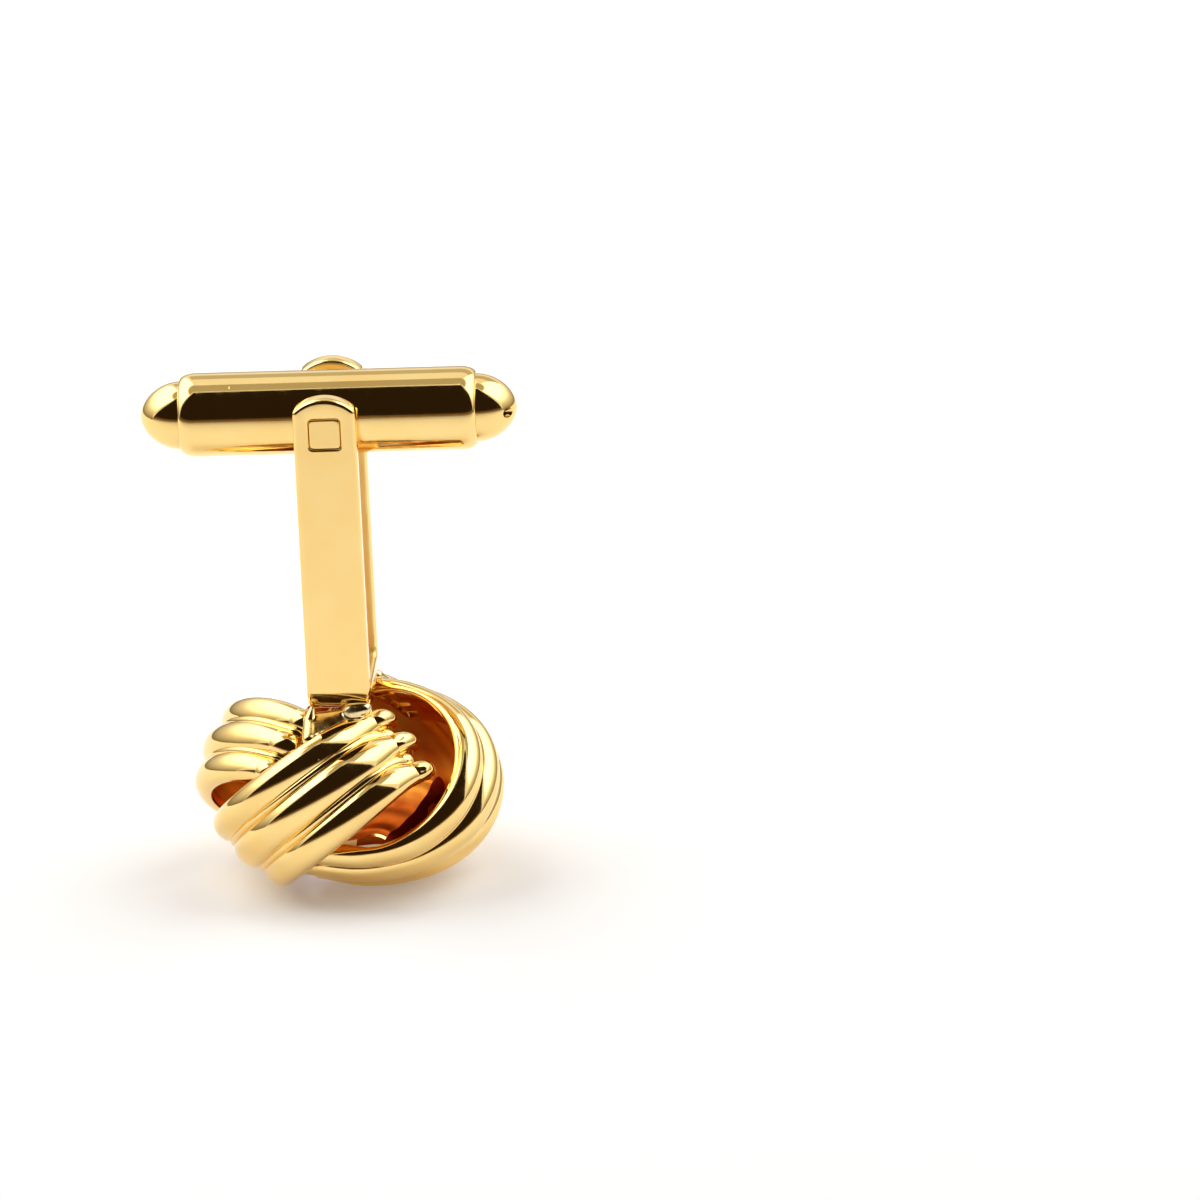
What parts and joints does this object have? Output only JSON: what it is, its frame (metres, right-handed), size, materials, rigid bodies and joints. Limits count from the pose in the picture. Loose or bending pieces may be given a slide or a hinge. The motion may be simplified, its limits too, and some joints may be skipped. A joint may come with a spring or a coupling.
{
  "type": "cufflink",
  "caption": "Knot cufflink of fluted strips on a U-shaped frame, with a domed toggle that turns on a square pin to lock the link in a cuff.",
  "frame": {"origin": "under the middle of the knot, on the surface that the knot's face stands on", "axes": "+Z from the knot's face towards the toggle, X along the toggle at rest, Y along the pin, with the arm that the picture shows in front at -Y"},
  "size_m": [0.018, 0.0149, 0.0251],
  "materials": {
    "knot_gold": "mirror-polished gold plate",
    "frame_gold": "polished gold plate",
    "toggle_gold": "mirror-polished gold plate",
    "pin_gold": "staked and polished flush",
    "plunger_brass": "turned",
    "spring_steel": "drawn wire"
  },
  "bodies": {
    "frame": {"knot_strip_1": "knot_gold", "knot_strip_2": "knot_gold", "knot_strip_3": "knot_gold", "knot_strip_4": "knot_gold", "u_frame": "frame_gold", "pivot_pin": "pin_gold"},
    "toggle": {"toggle_barrel": "toggle_gold", "toggle_cap_left": "toggle_gold", "toggle_cap_right": "toggle_gold", "detent_plunger_left": "plunger_brass", "detent_plunger_right": "plunger_brass", "detent_spring_left": "spring_steel", "detent_spring_right": "spring_steel"}
  },
  "joints": [
    {"name": "toggle_swing", "type": "hinge", "parent": "frame", "child": "toggle", "pos_m": [0, 0, 0.0231], "axis": [0, 1, 0], "continuous": true}
  ]
}
